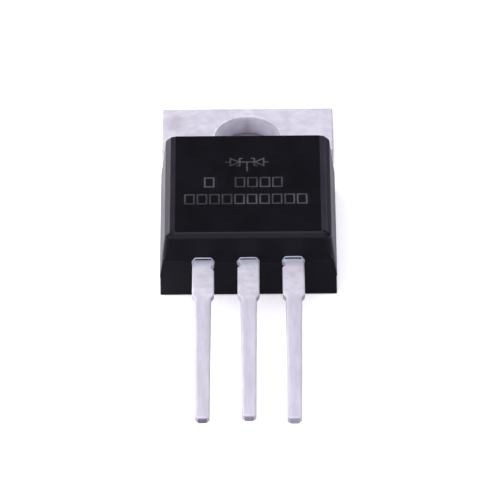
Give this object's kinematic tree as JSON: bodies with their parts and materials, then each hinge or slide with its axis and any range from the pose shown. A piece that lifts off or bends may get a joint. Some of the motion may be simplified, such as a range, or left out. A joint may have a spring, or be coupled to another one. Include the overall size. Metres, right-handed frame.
{
  "type": "schottky diode",
  "caption": "Dual Schottky rectifier in a flat three-lead package with a drilled metal tab, lying on its back.",
  "frame": {"origin": "on the axis of the mounting hole, at the seating plane (the tab's back)", "axes": "+Z out of the front face of the moulding, +Y from the leads towards the tab, +X to the right seen from the leads"},
  "size_m": [0.01, 0.0287, 0.0045],
  "materials": {
    "tinned_copper": "matt tin over stamped copper",
    "die_solder": "satin",
    "silicon": "polished, with a metal pad on top",
    "aluminium_wire": "drawn",
    "moulding_epoxy": "semi-matt, fine spark-eroded grain"
  },
  "bodies": {
    "root": {"heat_sink_frame": "tinned_copper", "anode_lead_left": "tinned_copper", "anode_lead_right": "tinned_copper", "die_solder_left": "die_solder", "die_solder_right": "die_solder", "schottky_die_left": "silicon", "schottky_die_right": "silicon", "bond_wire_left": "aluminium_wire", "bond_wire_right": "aluminium_wire", "moulded_body": "moulding_epoxy"}
  },
  "joints": []
}
